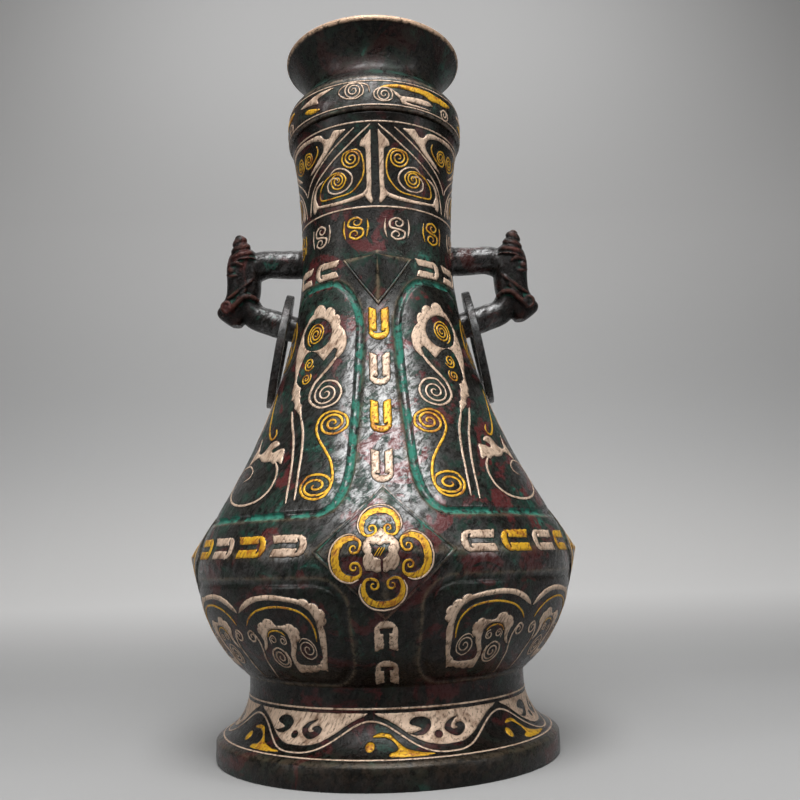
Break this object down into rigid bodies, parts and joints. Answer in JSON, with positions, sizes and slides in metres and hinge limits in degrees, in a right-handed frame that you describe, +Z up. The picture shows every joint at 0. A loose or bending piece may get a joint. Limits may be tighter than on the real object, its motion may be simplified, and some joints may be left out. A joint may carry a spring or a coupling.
{
  "type": "ritual pot",
  "caption": "Tall bronze wine pot with a flared foot, banded belly, long neck, crowned lift-off lid and animal-head side handles that carry loose rings.",
  "frame": {"origin": "middle of the foot, on the surface that it stands on", "axes": "+Z up along the pot, -Y towards the front, handles along X"},
  "size_m": [0.1604, 0.1604, 0.3],
  "materials": {
    "bronze": "black-green patina with red-brown and turquoise patches, satin",
    "dark_bronze": "dark brown patina, worn bright on high edges",
    "silver": "warm pale silver, hammered and cross-hatched",
    "gold": "bright yellow gold, hammered"
  },
  "bodies": {
    "vessel": {"vessel_body": "bronze", "handle_right": "dark_bronze", "handle_left": "dark_bronze", "gold_tablet_front_strap_1": "gold", "silver_tablet_front_strap_2": "silver", "gold_tablet_front_strap_3": "gold", "silver_tablet_front_strap_4": "silver", "silver_tablet_right_strap_2": "silver", "gold_tablet_right_strap_3": "gold", "silver_tablet_right_strap_4": "silver", "gold_tablet_back_strap_1": "gold", "silver_tablet_back_strap_2": "silver", "gold_tablet_back_strap_3": "gold", "silver_tablet_back_strap_4": "silver", "silver_tablet_left_strap_2": "silver", "gold_tablet_left_strap_3": "gold", "silver_tablet_left_strap_4": "silver", "silver_tablet_front_below_1": "silver", "silver_tablet_front_below_2": "silver", "silver_tablet_right_below_1": "silver", "silver_tablet_right_below_2": "silver", "silver_tablet_back_below_1": "silver", "silver_tablet_back_below_2": "silver", "silver_tablet_left_below_1": "silver", "silver_tablet_left_below_2": "silver", "silver_tablet_front_right_belly_1": "silver", "gold_tablet_front_right_belly_2": "gold", "silver_tablet_front_right_belly_3": "silver", "gold_tablet_front_right_belly_4": "gold", "silver_tablet_front_right_neck_1": "silver", "silver_tablet_front_right_neck_2": "silver", "silver_tablet_front_left_belly_1": "silver", "gold_tablet_front_left_belly_2": "gold", "silver_tablet_front_left_belly_3": "silver", "gold_tablet_front_left_belly_4": "gold", "silver_tablet_front_left_neck_1": "silver", "silver_tablet_front_left_neck_2": "silver", "silver_tablet_back_right_belly_1": "silver", "gold_tablet_back_right_belly_2": "gold", "silver_tablet_back_right_belly_3": "silver", "gold_tablet_back_right_belly_4": "gold", "silver_tablet_back_right_neck_1": "silver", "silver_tablet_back_right_neck_2": "silver", "silver_tablet_back_left_belly_1": "silver", "gold_tablet_back_left_belly_2": "gold", "silver_tablet_back_left_belly_3": "silver", "gold_tablet_back_left_belly_4": "gold", "silver_tablet_back_left_neck_1": "silver", "silver_tablet_back_left_neck_2": "silver", "silver_boss_plate_front": "silver", "silver_boss_plate_right": "silver", "silver_boss_plate_back": "silver", "silver_boss_plate_left": "silver"},
    "lid": {"lid": "bronze"},
    "ring_right": {"ring_right": "dark_bronze"},
    "ring_left": {"ring_left": "dark_bronze"}
  },
  "joints": [
    {"name": "lid_lift", "type": "slide", "parent": "vessel", "child": "lid", "axis": [0, 0, 1], "range_m": [0, 0.06]},
    {"name": "ring_right_swing", "type": "hinge", "parent": "vessel", "child": "ring_right", "pos_m": [0.03901, 0, 0.18542], "axis": [0, -1, 0], "range_deg": [0, 70]},
    {"name": "ring_left_swing", "type": "hinge", "parent": "vessel", "child": "ring_left", "pos_m": [-0.03901, 0, 0.18542], "axis": [0, 1, 0], "range_deg": [0, 70]}
  ]
}
